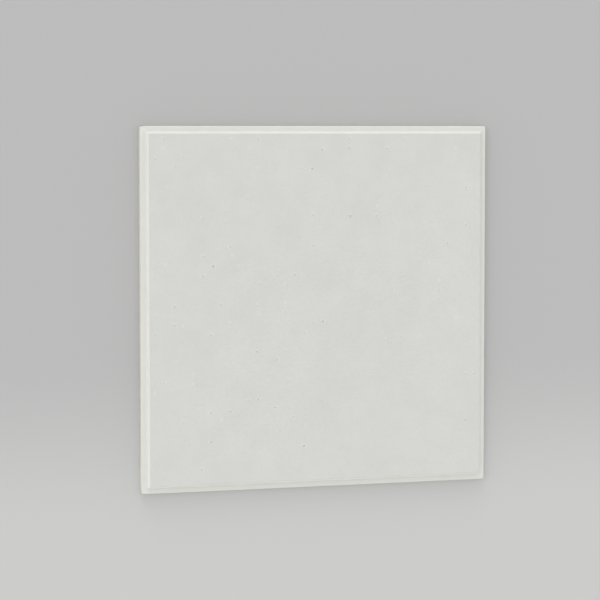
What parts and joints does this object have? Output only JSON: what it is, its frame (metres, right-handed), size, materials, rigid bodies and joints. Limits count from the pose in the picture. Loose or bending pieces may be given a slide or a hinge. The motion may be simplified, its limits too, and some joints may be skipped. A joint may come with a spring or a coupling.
{
  "type": "suspended ceiling tile",
  "caption": "Square mineral-fibre ceiling tile with a smooth flat white face and a stepped, bevelled edge whose flange rests on the ceiling grid.",
  "frame": {"origin": "centre of the flat back, on the surface that the tile lies on", "axes": "+Z out of the finished face, through the board's thickness; +X and +Y along the two sides. The tile lies on its back, face up. In a ceiling it is turned over, so that +Z points down into the room and the ledge rests on the rails."},
  "size_m": [0.6032, 0.6032, 0.0191],
  "materials": {
    "painted_board": "matte"
  },
  "bodies": {
    "root": {"ceiling_tile": "painted_board"}
  },
  "joints": []
}
